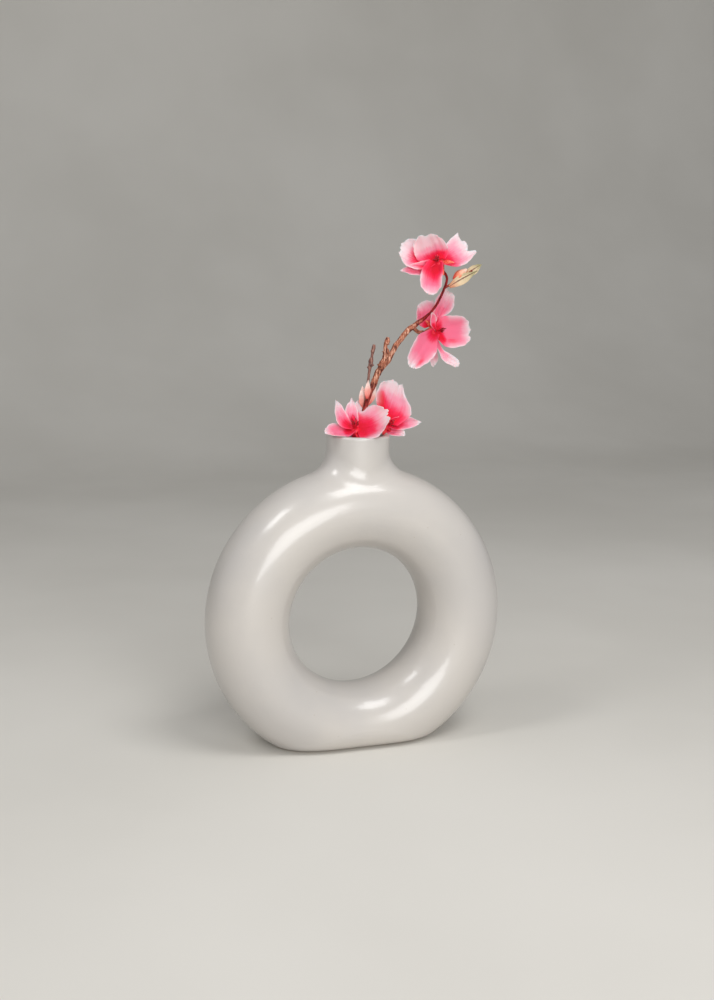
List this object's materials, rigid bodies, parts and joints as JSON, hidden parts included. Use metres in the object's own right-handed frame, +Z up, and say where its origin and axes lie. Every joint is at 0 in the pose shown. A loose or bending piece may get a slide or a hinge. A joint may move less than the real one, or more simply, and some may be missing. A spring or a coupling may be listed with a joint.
{
  "type": "donut vase with blossom spray",
  "caption": "Upright ring-shaped glazed vase on a flattened base, with a short round neck and an artificial blossom spray that lifts out of it.",
  "frame": {"origin": "middle of the vase's flat base, on the surface that it stands on", "axes": "+Z up; +Y out of the back of the donut hole, whose axis lies along Y; +X to the side that the spray leans to, seen from the front (-Y)"},
  "size_m": [0.1986, 0.058, 0.3305],
  "materials": {
    "glaze": "smooth glossy off-white glaze with a faint grey-green cast",
    "petal": "matt cloth, deep red at the base fading to pale pink edges",
    "leaf": "matt cloth, red-brown to pale pink",
    "bud": "matt cloth, peach",
    "calyx": "moulded, red-brown",
    "bark": "moulded bark texture, brown",
    "stamens": "fine dark red threads",
    "wire": "drawn steel"
  },
  "bodies": {
    "vase": {"vase_body": "glaze"},
    "spray": {"bract_front": "leaf", "bract_left": "leaf", "bract_right": "leaf", "bud_leaf_lower": "leaf", "bud_leaf_upper": "leaf", "bud_petals": "bud", "bud_spur": "bark", "bud_twig": "bark", "core_wire": "wire", "main_branch": "bark", "middle_calyx": "calyx", "middle_petal_inner": "petal", "middle_petal_lower_left": "petal", "middle_petal_lower_mid": "petal", "middle_petal_lower_right": "petal", "middle_petal_right": "petal", "middle_petal_upper": "petal", "middle_petal_upper_left": "petal", "middle_stalk": "bark", "middle_stamens": "stamens", "rim_left_calyx": "calyx", "rim_left_petal_front": "petal", "rim_left_petal_inner": "petal", "rim_left_petal_over_rim": "petal", "rim_left_petal_point": "petal", "rim_left_petal_small": "petal", "rim_left_stalk": "bark", "rim_left_stamens": "stamens", "rim_right_calyx": "calyx", "rim_right_petal_back": "petal", "rim_right_petal_low": "petal", "rim_right_petal_under": "petal", "rim_right_stalk": "bark", "rim_right_stamens": "stamens", "side_twig": "bark", "top_calyx": "calyx", "top_petal_back": "petal", "top_petal_left": "petal", "top_petal_left_low": "petal", "top_petal_right": "petal", "top_petal_tongue": "petal", "top_stamens": "stamens"}
  },
  "joints": [
    {"name": "spray_lift", "type": "slide", "parent": "vase", "child": "spray", "axis": [0, 0, 1], "range_m": [0, 0.075]}
  ]
}
